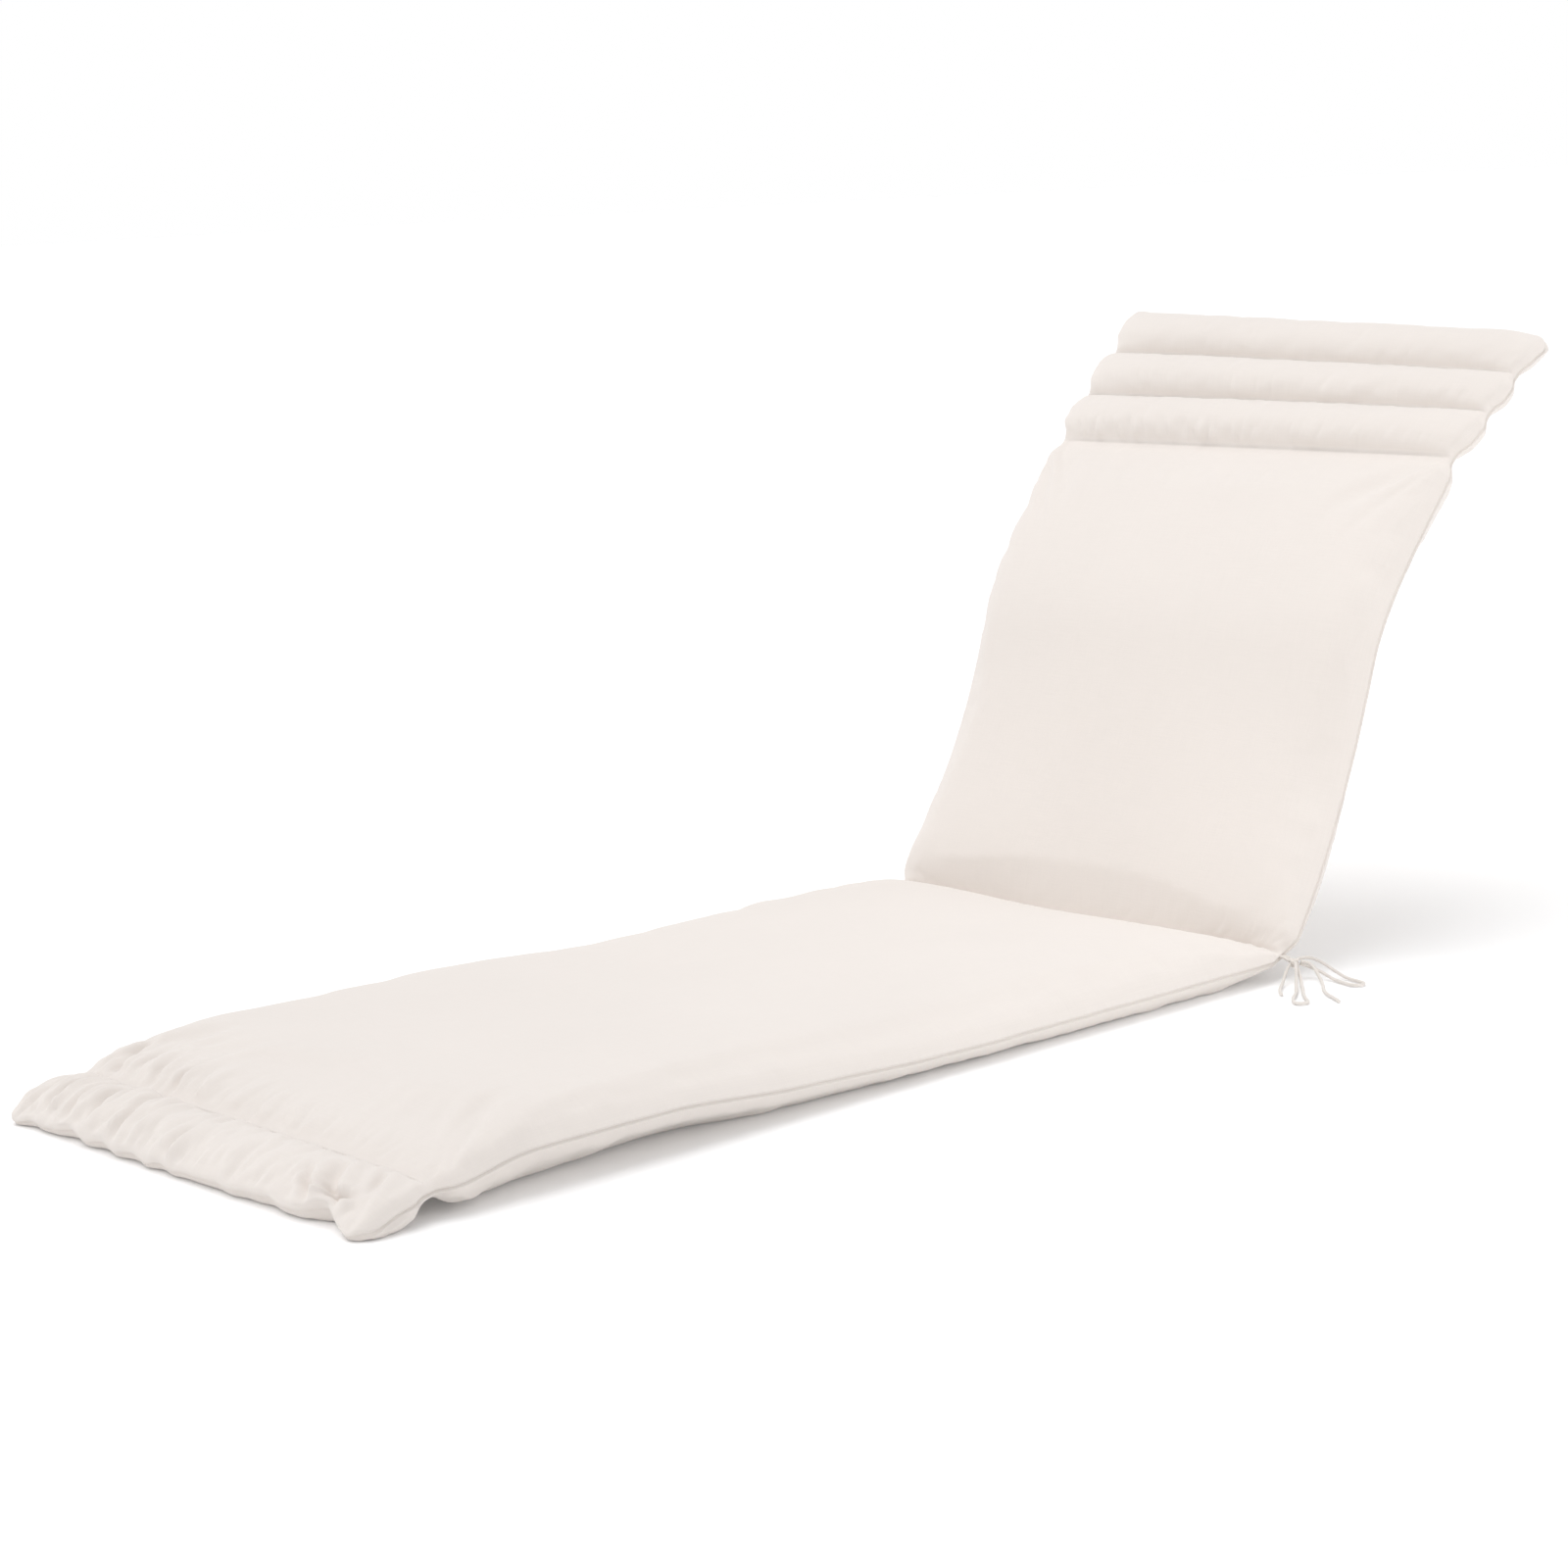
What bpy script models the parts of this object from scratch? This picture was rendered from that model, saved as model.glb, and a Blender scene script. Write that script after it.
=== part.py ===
"""Sun lounger cushion: a filled cotton pad with sewn channels, bent up at its seat crease.

Metres, +Z up. X runs from the foot to the head, and the seat's underside lies flat on z = 0.
The pad is cut flat as a thin box. "along" is the distance from the foot hem over the flat pad,
"across" the distance from its middle line, and "skin" is +1 on the upper panel, -1 on the lower one.
"""
import math
from collections import namedtuple

import bmesh
import bpy
from mathutils import Vector

# The pad
HALF_WIDTH = 0.300
SEAM_HALF = 0.0035          # half the thickness where the panels are sewn together
SEAM_HEIGHT = 0.022         # of the crease and the side seams beside it above the floor
SIDE_FULLNESS = 4.0         # 2 is an oval section, more is a boxier one
PINCH = 0.009               # a sewn line draws the side seam in by this much
PINCH_FLAT, PINCH_REACH = 0.005, 0.024
EAR_FOOT, EAR_HEAD = 0.006, 0.003  # the corners stand out by this much
EAR_REACH = 0.050

# The crowns of a panel's two skins, how far each falls to the sewn line at the panel's ends,
# and how far the filling draws the panel's sides in
Panel = namedtuple("Panel", "name length front rear fall_foot fall_head drawn_in")
PANELS = (
    Panel("foot channel", 0.080, 0.020, 0.020, 0.040, 0.040, 0.002),
    Panel("seat", 1.095, 0.031, 0.028, 0.100, 0.240, 0.003),
    Panel("back", 0.580, 0.025, 0.023, 0.130, 0.055, 0.007),
    Panel("lowest head channel", 0.067, 0.023, 0.019, 0.0335, 0.0335, 0.002),
    Panel("middle head channel", 0.064, 0.022, 0.018, 0.0320, 0.0320, 0.002),
    Panel("top head channel", 0.064, 0.020, 0.016, 0.0320, 0.0320, 0.002),
)
# How thick the pad's upper half stays at the hem, at each sewn line and at the top edge
HELD = (SEAM_HALF, 0.012, 0.004, 0.006, 0.006, 0.006, SEAM_HALF)
FOOT_SEAM = PANELS[0].length
CREASE = FOOT_SEAM + PANELS[1].length
HEAD_SEAM = CREASE + PANELS[2].length
LENGTH = sum(panel.length for panel in PANELS)

Bend = namedtuple("Bend", "from_crease slope")
BENDS = (                   # how steeply the pad rises towards the head, in degrees
    Bend(-CREASE, 24), Bend(-1.095, 9), Bend(-1.030, 0), Bend(-0.760, 0), Bend(-0.600, -3.6),
    Bend(-0.440, 0), Bend(-0.012, 0), Bend(0.012, 52), Bend(0.060, 56), Bend(0.120, 60),
    Bend(0.200, 65), Bend(0.330, 71), Bend(0.385, 58), Bend(0.460, 52), Bend(0.560, 50),
    Bend(0.620, 45), Bend(0.700, 43), Bend(LENGTH - CREASE, 47),
)
WALK_STEP = 0.001

# The side seams rise off the floor in the foot third of the seat
LIFT_START, LIFT_FULL, LIFT_EASE, LIFT_END = 0.110, 0.190, 0.330, 0.500
LIFT_NEAR, LIFT_FAR = 0.011, 0.006

# The head is a little wider at its near side, whose corner hangs back and down
FLARE_START, FLARE_END = HEAD_SEAM - 0.015, HEAD_SEAM + 0.060
FLARE_NEAR, FLARE_FAR = 0.012, 0.005
HANG_BACK = 0.014
EAR_HANG = 0.020
TOP_SKEW = 0.006            # the far end of the top edge stands this much higher, the near end lower

# The gathers of the foot seam
GATHER_HEIGHT = 0.0030
GATHER_REACH = 0.085
GATHER_COLUMN = 0.0125
Wave = namedtuple("Wave", "share length phase slant")
WAVES = (Wave(0.55, 0.052, 0.4, 9), Wave(0.45, 0.037, 2.1, -14), Wave(0.30, 0.081, 4.0, 6))

# Where the flat pad is divided: distances from a sewn line, and from a side seam
NEAR_SEAM = (0.004, 0.012, 0.022, 0.040, 0.070, 0.110)
NEAR_SIDE = (0.003, 0.010, 0.024, 0.048, 0.090, 0.150, 0.225)
LONG_STEP = 0.055

# The tie
CORD_RADIUS = 0.00175
GAP = 0.0003                # between pieces that touch
KNOT_OUT = 0.0175           # from the side seam to the middle of the knot
KNOT_RADII = (0.0065, 0.0055, 0.0060)
KNOT_DROP = 0.004
ROUTE_STEP = 0.007
TIE_SLANT = 40.6            # in degrees, towards the foot

CALICO = ("natural cotton calico", (0.90, 0.84, 0.79), 0.9)
CORD_COTTON = ("cotton cord", (0.84, 0.81, 0.77), 0.85)


def clear_scene():
    for leftover in list(bpy.data.objects):
        bpy.data.objects.remove(leftover, do_unlink=True)


def new_collection(name):
    collection = bpy.data.collections.new(name)
    bpy.context.scene.collection.children.link(collection)
    return collection


def cloth_material(look):
    name, colour, roughness = look
    material = bpy.data.materials.new(name)
    material.use_nodes = True
    shader = material.node_tree.nodes["Principled BSDF"]
    shader.inputs["Base Color"].default_value = (*colour, 1.0)
    shader.inputs["Roughness"].default_value = roughness
    shader.inputs["Metallic"].default_value = 0.0
    return material


def add_object(name, data, material, collection):
    piece = bpy.data.objects.new(name, data)
    data.materials.append(material)
    collection.objects.link(piece)
    return piece


def smooth_step(value, start, end):
    share = min(max((value - start) / (end - start), 0.0), 1.0)
    return share * share * (3 - 2 * share)


def swell(distance, fall, power=2.0):
    """From 0 at a sewn line to 1 where the filling is full, round like a bolster's end."""
    left = 1 - min(max(distance, 0.0), fall) / fall
    return (1 - left ** power) ** (1 / power)


def slope_at(from_crease):
    for low, high in zip(BENDS, BENDS[1:]):
        if from_crease <= high.from_crease:
            share = (from_crease - low.from_crease) / (high.from_crease - low.from_crease)
            return math.radians(low.slope + (high.slope - low.slope) * share)
    return math.radians(BENDS[-1].slope)


def walk_the_middle():
    """Points (x, z, slope) on the pad's middle layer, one for each step from the foot hem to the head."""
    count = round(LENGTH / WALK_STEP)
    to_crease = round(CREASE / WALK_STEP)
    x, z, points = 0.0, 0.0, []
    for step in range(count + 1):
        slope = slope_at(step * WALK_STEP - CREASE)
        points.append(Vector((x, z, slope)))
        x += math.cos(slope) * WALK_STEP
        z += math.sin(slope) * WALK_STEP
    shift = Vector((points[to_crease].x, points[to_crease].y - SEAM_HEIGHT, 0))
    return [point - shift for point in points]


MIDDLE = walk_the_middle()


def middle_at(along):
    steps = min(max(along / WALK_STEP, 0.0), len(MIDDLE) - 1.001)
    return MIDDLE[int(steps)].lerp(MIDDLE[int(steps) + 1], steps % 1)


def panel_at(along):
    """The number of the panel that a place belongs to, and how far it is past that panel's start."""
    start = 0.0
    for number, panel in enumerate(PANELS):
        if along <= start + panel.length:
            return number, along - start
        start += panel.length
    return len(PANELS) - 1, PANELS[-1].length


def to_nearest_seam(along):
    ends = [sum(panel.length for panel in PANELS[:count]) for count in range(len(PANELS) + 1)]
    return min(abs(along - end) for end in ends)


def gathers(along, across):
    """Height of the puckers beside the foot seam, strongest towards the far side."""
    fade = 1 - smooth_step(abs(along - FOOT_SEAM), 0.3 * GATHER_REACH, GATHER_REACH)
    strength = 0.55 + 0.45 * smooth_step(across, -0.10, 0.22)
    height = sum(wave.share * math.sin(math.tau * across / wave.length + wave.phase + wave.slant * along)
                 for wave in WAVES)
    return GATHER_HEIGHT * fade * strength * height


def unevenness(along, across):
    """The filling is a little lumpy: a share of the crown."""
    return (0.05 * math.sin(9.1 * along + 6.0 * across + 0.7)
            + 0.04 * math.sin(17.3 * along - 11.0 * across + 2.2))


def thickness(along, across, skin):
    """How far a skin stands off the pad's middle layer."""
    number, past_start = panel_at(along)
    panel = PANELS[number]
    crown, held = panel.rear, SEAM_HALF
    if skin > 0:
        share = past_start / panel.length
        crown, held = panel.front, HELD[number] * (1 - share) + HELD[number + 1] * share
    lengthwise = swell(past_start, panel.fall_foot) * swell(panel.length - past_start, panel.fall_head)
    crosswise = swell(HALF_WIDTH - abs(across), HALF_WIDTH, SIDE_FULLNESS)
    full = crown * (1 + unevenness(along, across)) + gathers(along, across)
    return SEAM_HALF + crosswise * (held - SEAM_HALF + (full - held + SEAM_HALF) * lengthwise)


def edge_lift(along, across):
    rise = smooth_step(along, LIFT_START, LIFT_FULL) * (1 - smooth_step(along, LIFT_EASE, LIFT_END))
    most = LIFT_NEAR if across < 0 else LIFT_FAR
    return most * rise * abs(across / HALF_WIDTH) ** 3


def corner_share(along, across):
    """1 at a corner of the flat pad, falling to 0 within the ear's reach."""
    from_end = min(along, LENGTH - along)
    from_side = HALF_WIDTH - abs(across)
    return max(0.0, 1 - from_end / EAR_REACH) ** 2 * max(0.0, 1 - from_side / EAR_REACH) ** 2


def half_width_at(along, across):
    number, past_start = panel_at(along)
    panel = PANELS[number]
    pinched = PINCH * (1 - smooth_step(to_nearest_seam(along), PINCH_FLAT, PINCH_REACH))
    drawn_in = panel.drawn_in * math.sin(math.pi * past_start / panel.length)
    flare = (FLARE_NEAR if across < 0 else FLARE_FAR) * smooth_step(along, FLARE_START, FLARE_END)
    return HALF_WIDTH - pinched - drawn_in + flare


def place_point(along, across, skin):
    """Where a point of the flat pad ends up on the filled and bent one."""
    x, z, slope = middle_at(along)
    corner, side = corner_share(along, across), across / HALF_WIDTH
    ear = corner * (EAR_HEAD if along > CREASE else EAR_FOOT)
    near_side = (1 - side) / 2
    towards_top = smooth_step(along, HEAD_SEAM, LENGTH)
    off = skin * thickness(along, across, skin) + edge_lift(along, across)
    outwards = -ear
    if along > CREASE:
        off -= near_side * (HANG_BACK * towards_top + EAR_HANG * corner)
        outwards = ear + TOP_SKEW * side * towards_top
    x += outwards * math.cos(slope) - off * math.sin(slope)
    z += outwards * math.sin(slope) + off * math.cos(slope)
    y = side * (half_width_at(along, across) + ear)
    return Vector((x, y, max(z, 0.0)))


def stations():
    """Where the flat pad is divided along its length, close together beside each sewn line."""
    places, start = [], 0.0
    for panel in PANELS:
        half = panel.length / 2
        close = [step for step in NEAR_SEAM if step < half - 0.004]
        middle = panel.length - 2 * close[-1]
        count = max(2, math.ceil(middle / LONG_STEP))
        inner = [close[-1] + middle * step / count for step in range(1, count)]
        places += [start + step for step in [*close, *inner]]
        places += [start + panel.length - step for step in reversed(close)]
        start += panel.length
        places.append(start)
    return places[:-1]


def columns():
    sides = [HALF_WIDTH - step for step in NEAR_SIDE]
    return [-side for side in sides] + [0.0] + sides


def gather_columns():
    """The finer columns that the gathers need between the others."""
    count = round(2 * HALF_WIDTH / GATHER_COLUMN)
    fine = [-HALF_WIDTH + GATHER_COLUMN * step for step in range(1, count)]
    return [place for place in fine if min(abs(place - other) for other in columns()) > 0.004]


def cut_across(mesh, point, normal, faces):
    edges = {edge for face in faces for edge in face.edges}
    verts = {vert for face in faces for vert in face.verts}
    bmesh.ops.bisect_plane(mesh, geom=[*verts, *edges, *faces], dist=1e-6, plane_co=point, plane_no=normal)


def pad_mesh():
    """A thin box, divided where the pad bends or puckers, and every point then moved to its place."""
    mesh = bmesh.new()
    bmesh.ops.create_cube(mesh, size=1.0)
    bmesh.ops.scale(mesh, vec=(LENGTH, 2 * HALF_WIDTH, 2.0), verts=mesh.verts)
    bmesh.ops.translate(mesh, vec=(LENGTH / 2, 0.0, 0.0), verts=mesh.verts)
    for along in stations():
        cut_across(mesh, (along, 0, 0), (1, 0, 0), mesh.faces[:])
    for across in columns():
        cut_across(mesh, (0, across, 0), (0, 1, 0), mesh.faces[:])
    gathered_to = FOOT_SEAM + NEAR_SEAM[4]
    for across in gather_columns():
        gathered = [face for face in mesh.faces if face.calc_center_median().x < gathered_to]
        cut_across(mesh, (0, across, 0), (0, 1, 0), gathered)
    for vert in mesh.verts:
        vert.co = place_point(vert.co.x, vert.co.y, vert.co.z)
    bmesh.ops.triangulate(mesh, faces=mesh.faces[:])
    return mesh


def centre_over_origin(mesh):
    """Moves the pad so that the middle of its box stands over the origin, and returns that move."""
    lows = [min(vert.co[axis] for vert in mesh.verts) for axis in (0, 1)]
    highs = [max(vert.co[axis] for vert in mesh.verts) for axis in (0, 1)]
    shift = Vector((-(lows[0] + highs[0]) / 2, -(lows[1] + highs[1]) / 2, 0.0))
    bmesh.ops.translate(mesh, vec=shift, verts=mesh.verts)
    return shift


def make_pad(material, collection):
    mesh = pad_mesh()
    shift = centre_over_origin(mesh)
    data = bpy.data.meshes.new("pad")
    mesh.to_mesh(data)
    mesh.free()
    data.shade_smooth()
    add_object("pad", data, material, collection)
    return shift


def smooth_route(points, step):
    """Evenly spaced points on one smooth curve through the route's own points."""
    ends = [2 * points[0] - points[1], *points, 2 * points[-1] - points[-2]]
    fine = []
    for before, start, end, after in zip(ends, ends[1:], ends[2:], ends[3:]):
        pieces = max(2, math.ceil((end - start).length / step))
        for count in range(pieces):
            t = count / pieces
            fine.append(0.5 * (2 * start + (end - before) * t
                               + (2 * before - 5 * start + 4 * end - after) * t ** 2
                               + (3 * start - before - 3 * end + after) * t ** 3))
    return [*fine, points[-1]]


def make_strand(name, route, material, collection):
    points = smooth_route([Vector(point) for point in route], ROUTE_STEP)
    curve = bpy.data.curves.new(name, "CURVE")
    curve.dimensions = "3D"
    curve.bevel_depth = CORD_RADIUS
    curve.bevel_resolution = 2
    curve.use_fill_caps = True
    spline = curve.splines.new("POLY")
    spline.points.add(len(points) - 1)
    for spot, point in zip(spline.points, points):
        spot.co = (*point, 1.0)
    return add_object(name, curve, material, collection)


def make_knot(centre, material, collection):
    mesh = bmesh.new()
    bmesh.ops.create_uvsphere(mesh, u_segments=16, v_segments=10, radius=1.0)
    bmesh.ops.scale(mesh, vec=KNOT_RADII, verts=mesh.verts)
    bmesh.ops.translate(mesh, vec=centre, verts=mesh.verts)
    data = bpy.data.meshes.new("tie_knot")
    mesh.to_mesh(data)
    mesh.free()
    data.shade_smooth()
    add_object("tie_knot", data, material, collection)


def make_tie(shift, material, collection):
    """A bow at the near end of the crease. Its loops and ends droop to the floor and lie there."""
    seam = Vector((0.0, -half_width_at(CREASE, -HALF_WIDTH) - GAP, SEAM_HEIGHT)) + shift
    knot = seam + Vector((0.0, -KNOT_OUT, -KNOT_DROP))
    make_knot(knot, material, collection)
    floor = CORD_RADIUS + GAP / 2
    beside = CORD_RADIUS + GAP / 2
    reach_x, reach_y, reach_z = (radius + GAP for radius in KNOT_RADII)

    def from_knot(x, y, z):
        return knot + Vector((x, y, z))

    def laid(out, aside, height=floor):
        """A point near the floor, out from the pad on the tie's slant and aside towards the head."""
        slant = math.radians(TIE_SLANT)
        return Vector((knot.x - out * math.sin(slant) + aside * math.cos(slant),
                       knot.y - out * math.cos(slant) - aside * math.sin(slant), height))

    strands = {
        "tie_root_seat": [seam + Vector((-beside, 0, 0)), seam + Vector((-beside, -0.005, -0.0005)),
                          from_knot(-beside, reach_y + 0.0003, 0.0008)],
        "tie_root_back": [seam + Vector((beside, 0, 0)), seam + Vector((beside, -0.005, -0.0005)),
                          from_knot(beside, reach_y + 0.0003, 0.0008)],
        "tie_loop_back": [from_knot(reach_x, 0.0008, 0.0022), from_knot(0.0180, -0.0050, 0.0035),
                          from_knot(0.0275, -0.0150, -0.0040), laid(0.0040, 0.0420, 0.0070),
                          laid(0.0150, 0.0505, 0.0024), laid(0.0250, 0.0575), laid(0.0356, 0.0636),
                          laid(0.0412, 0.0658), laid(0.0466, 0.0634), laid(0.0488, 0.0578),
                          laid(0.0464, 0.0524), laid(0.0365, 0.0460), laid(0.0255, 0.0405),
                          laid(0.0160, 0.0350, 0.0028), laid(0.0080, 0.0280, 0.0076),
                          from_knot(0.0140, -0.0080, -0.0065),
                          from_knot(reach_x - 0.0004, -0.0024, -0.0024)],
        "tie_loop_front": [from_knot(-0.0042, -reach_y + 0.0008, 0.0012),
                           from_knot(-0.0115, -0.0120, 0.0004), from_knot(-0.0190, -0.0190, -0.0075),
                           laid(0.0400, -0.0045, 0.0058), laid(0.0550, -0.0068), laid(0.0720, -0.0100),
                           laid(0.0890, -0.0150), laid(0.1050, -0.0170), laid(0.1103, -0.0148),
                           laid(0.1125, -0.0095), laid(0.1103, -0.0042), laid(0.1050, -0.0020),
                           laid(0.0890, -0.0030), laid(0.0700, -0.0020), laid(0.0540, 0.0002),
                           laid(0.0390, 0.0012, 0.0030), laid(0.0270, 0.0020, 0.0080),
                           from_knot(-0.0085, -0.0130, -0.0058),
                           from_knot(-0.0022, -reach_y - 0.0004, -0.0030)],
        "tie_end_long": [from_knot(0.0044, -reach_y + 0.0010, 0.0006), from_knot(0.0090, -0.0130, 0.0002),
                         from_knot(0.0080, -0.0220, -0.0080), laid(0.0260, 0.0225, 0.0056),
                         laid(0.0420, 0.0228), laid(0.0600, 0.0206), laid(0.0780, 0.0212),
                         laid(0.0960, 0.0252), laid(0.1120, 0.0285)],
        "tie_end_short": [from_knot(-reach_x, 0.0004, -0.0016), from_knot(-0.0150, -0.0025, -0.0050),
                          laid(0.0209, -0.0137, 0.0085), laid(0.0306, -0.0173, 0.0028),
                          laid(0.0440, -0.0215), laid(0.0580, -0.0240), laid(0.0720, -0.0245)],
    }
    for name, route in strands.items():
        make_strand(name, route, material, collection)


def main():
    clear_scene()
    collection = new_collection("sun lounger cushion")
    shift = make_pad(cloth_material(CALICO), collection)
    make_tie(shift, cloth_material(CORD_COTTON), collection)


main()
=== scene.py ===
"""Sun lounger cushion in pale cotton: its filled pad, the stitches of its channels and its cord tie.

Metres, +Z up, in the frame's own axes. The pad is cut flat as a thin box. "along" is the distance from
the foot hem over the flat pad, "across" the distance from its middle line, away from the tie, and
"skin" is +1 on the upper panel, -1 on the lower one and between them on the edge.
"""

import math
from collections import namedtuple

import bmesh
import bpy
from bpy.props import FloatProperty, FloatVectorProperty, IntProperty, PointerProperty
from bpy.types import Operator, Panel, PropertyGroup
from mathutils import Matrix, Vector, noise


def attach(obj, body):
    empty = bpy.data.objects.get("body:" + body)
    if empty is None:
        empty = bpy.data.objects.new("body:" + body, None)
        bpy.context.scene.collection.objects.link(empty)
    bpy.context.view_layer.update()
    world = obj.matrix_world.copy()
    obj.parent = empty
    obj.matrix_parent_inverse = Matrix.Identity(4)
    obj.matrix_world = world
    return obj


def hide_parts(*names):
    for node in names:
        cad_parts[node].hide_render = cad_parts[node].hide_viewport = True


bl_info = {
    "name": "Sun lounger cushion",
    "version": (1, 0, 0),
    "blender": (4, 5, 0),
    "location": "3D View > Sidebar > Cushion",
    "description": "Fills, stitches and ties a long cotton pad for a sun lounger",
    "category": "Object",
}

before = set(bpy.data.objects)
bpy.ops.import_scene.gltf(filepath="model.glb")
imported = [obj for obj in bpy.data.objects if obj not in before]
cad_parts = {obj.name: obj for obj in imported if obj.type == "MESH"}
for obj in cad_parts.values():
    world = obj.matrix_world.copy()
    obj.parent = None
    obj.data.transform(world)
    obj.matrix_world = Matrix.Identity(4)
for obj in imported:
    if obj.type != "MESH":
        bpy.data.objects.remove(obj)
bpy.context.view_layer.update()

# The flat pad and where it lies
HALF_WIDTH = 0.300
SEAM_HALF = 0.0035
SEAM_HEIGHT = 0.022
SIDE_FULLNESS = 4.0
PINCH = 0.009
PINCH_FLAT, PINCH_REACH = 0.005, 0.024
EAR_FOOT, EAR_HEAD = 0.006, 0.003
EAR_REACH = 0.050
CREASE_PLACE = Vector((0.35827, 0.0035, 0.0))

Panel_cut = namedtuple("Panel_cut", "name length front rear fall_foot fall_head drawn_in")
PANELS = (
    Panel_cut("foot channel", 0.080, 0.020, 0.020, 0.040, 0.040, 0.002),
    Panel_cut("seat", 1.095, 0.031, 0.028, 0.100, 0.240, 0.003),
    Panel_cut("back", 0.580, 0.025, 0.023, 0.130, 0.055, 0.007),
    Panel_cut("lowest head channel", 0.067, 0.023, 0.019, 0.0335, 0.0335, 0.002),
    Panel_cut("middle head channel", 0.064, 0.022, 0.018, 0.0320, 0.0320, 0.002),
    Panel_cut("top head channel", 0.064, 0.020, 0.016, 0.0320, 0.0320, 0.002),
)
HELD = (SEAM_HALF, 0.012, 0.004, 0.006, 0.006, 0.006, SEAM_HALF)
SEAMS = tuple(sum(panel.length for panel in PANELS[:count]) for count in range(len(PANELS) + 1))
FOOT_SEAM, CREASE, HEAD_SEAM, LENGTH = SEAMS[1], SEAMS[2], SEAMS[3], SEAMS[6]

Bend = namedtuple("Bend", "from_crease slope")
BENDS = (
    Bend(-CREASE, 24), Bend(-1.095, 9), Bend(-1.030, 0), Bend(-0.760, 0), Bend(-0.600, -3.6),
    Bend(-0.440, 0), Bend(-0.012, 0), Bend(0.012, 52), Bend(0.060, 56), Bend(0.120, 60),
    Bend(0.200, 65), Bend(0.330, 71), Bend(0.385, 58), Bend(0.460, 52), Bend(0.560, 50),
    Bend(0.620, 45), Bend(0.700, 43), Bend(LENGTH - CREASE, 47),
)
WALK_STEP = 0.001
LIFT_START, LIFT_FULL, LIFT_EASE, LIFT_END = 0.110, 0.190, 0.330, 0.500
LIFT_NEAR, LIFT_FAR = 0.011, 0.006
FLARE_START, FLARE_END = HEAD_SEAM - 0.015, HEAD_SEAM + 0.060
FLARE_NEAR, FLARE_FAR = 0.012, 0.005
HANG_BACK = 0.014
EAR_HANG = 0.020
TOP_SKEW = 0.006

# How finely the flat pad is divided before the filling swells it
Spacing = namedtuple("Spacing", "until step")
ALONG_SPACING = (Spacing(0.170, 0.0052), Spacing(1.110, 0.0140), Spacing(1.240, 0.0055),
                 Spacing(1.690, 0.0140), Spacing(LENGTH, 0.0052))
ACROSS_SPACING = (Spacing(0.252, 0.0064), Spacing(0.288, 0.0055), Spacing(HALF_WIDTH, 0.0035))

# The corners, where the pad is turned out after sewing
CORNER_RADIUS = 0.017

# The tie
CORD_RADIUS = 0.00175
GAP = 0.0003
KNOT_OUT = 0.0175
KNOT_RADII = (0.0065, 0.0055, 0.0060)
KNOT_DROP = 0.004
TIE_SLANT = 40.6
ROUTE_STEP = 0.0012
TURN_PASSES, DROOP_PASSES = 12, 60
CORD_SIDES = 15
PLY_VALLEY, PLY_CREST = 0.93, 1.06

# The camera
CAMERA_PLACE = Vector((-2.40457, -2.72476, 0.90027))
CAMERA_TURN, CAMERA_DIP, CAMERA_ROLL = math.radians(40.6077), math.radians(10.3708), math.radians(-2.9642)
CAMERA_LENS, SENSOR = 82.1, 36.0


def smooth_step(value, start, end):
    share = min(max((value - start) / (end - start), 0.0), 1.0)
    return share * share * (3 - 2 * share)


def swell(distance, fall, power=2.0):
    """From 0 at a sewn line to 1 where the filling is full, round like a bolster's end."""
    left = 1 - min(max(distance, 0.0), fall) / fall
    return (1 - left ** power) ** (1 / power)


def slope_at(from_crease):
    for low, high in zip(BENDS, BENDS[1:]):
        if from_crease <= high.from_crease:
            share = (from_crease - low.from_crease) / (high.from_crease - low.from_crease)
            return math.radians(low.slope + (high.slope - low.slope) * share)
    return math.radians(BENDS[-1].slope)


def walk_the_middle():
    """Points (x, z, slope) on the pad's middle layer, one for each step from the foot hem to the head."""
    count = round(LENGTH / WALK_STEP)
    to_crease = round(CREASE / WALK_STEP)
    x, z, points = 0.0, 0.0, []
    for step in range(count + 1):
        slope = slope_at(step * WALK_STEP - CREASE)
        points.append(Vector((x, z, slope)))
        x += math.cos(slope) * WALK_STEP
        z += math.sin(slope) * WALK_STEP
    shift = Vector((points[to_crease].x, points[to_crease].y - SEAM_HEIGHT, 0))
    return [point - shift for point in points]


MIDDLE = walk_the_middle()


def middle_at(along):
    steps = min(max(along / WALK_STEP, 0.0), len(MIDDLE) - 1.001)
    return MIDDLE[int(steps)].lerp(MIDDLE[int(steps) + 1], steps % 1)


def panel_at(along):
    """The number of the panel that a place belongs to, and how far it is past that panel's start."""
    for number, panel in enumerate(PANELS):
        if along <= SEAMS[number + 1] + 1e-7:
            return number, along - SEAMS[number]
    return len(PANELS) - 1, PANELS[-1].length


def to_nearest_seam(along):
    return min(abs(along - seam) for seam in SEAMS)


def unevenness(along, across):
    """The filling is a little lumpy: a share of the crown."""
    return (0.05 * math.sin(9.1 * along + 6.0 * across + 0.7)
            + 0.04 * math.sin(17.3 * along - 11.0 * across + 2.2))


def thickness(along, across, upper):
    """How far a skin stands off the pad's middle layer."""
    number, past_start = panel_at(along)
    panel = PANELS[number]
    crown, held = panel.rear, SEAM_HALF
    if upper:
        share = past_start / panel.length
        crown, held = panel.front, HELD[number] * (1 - share) + HELD[number + 1] * share
    lengthwise = swell(past_start, panel.fall_foot) * swell(panel.length - past_start, panel.fall_head)
    crosswise = swell(HALF_WIDTH - abs(across), HALF_WIDTH, SIDE_FULLNESS)
    full = crown * (1 + unevenness(along, across))
    return SEAM_HALF + crosswise * (held - SEAM_HALF + (full - held + SEAM_HALF) * lengthwise)


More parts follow.
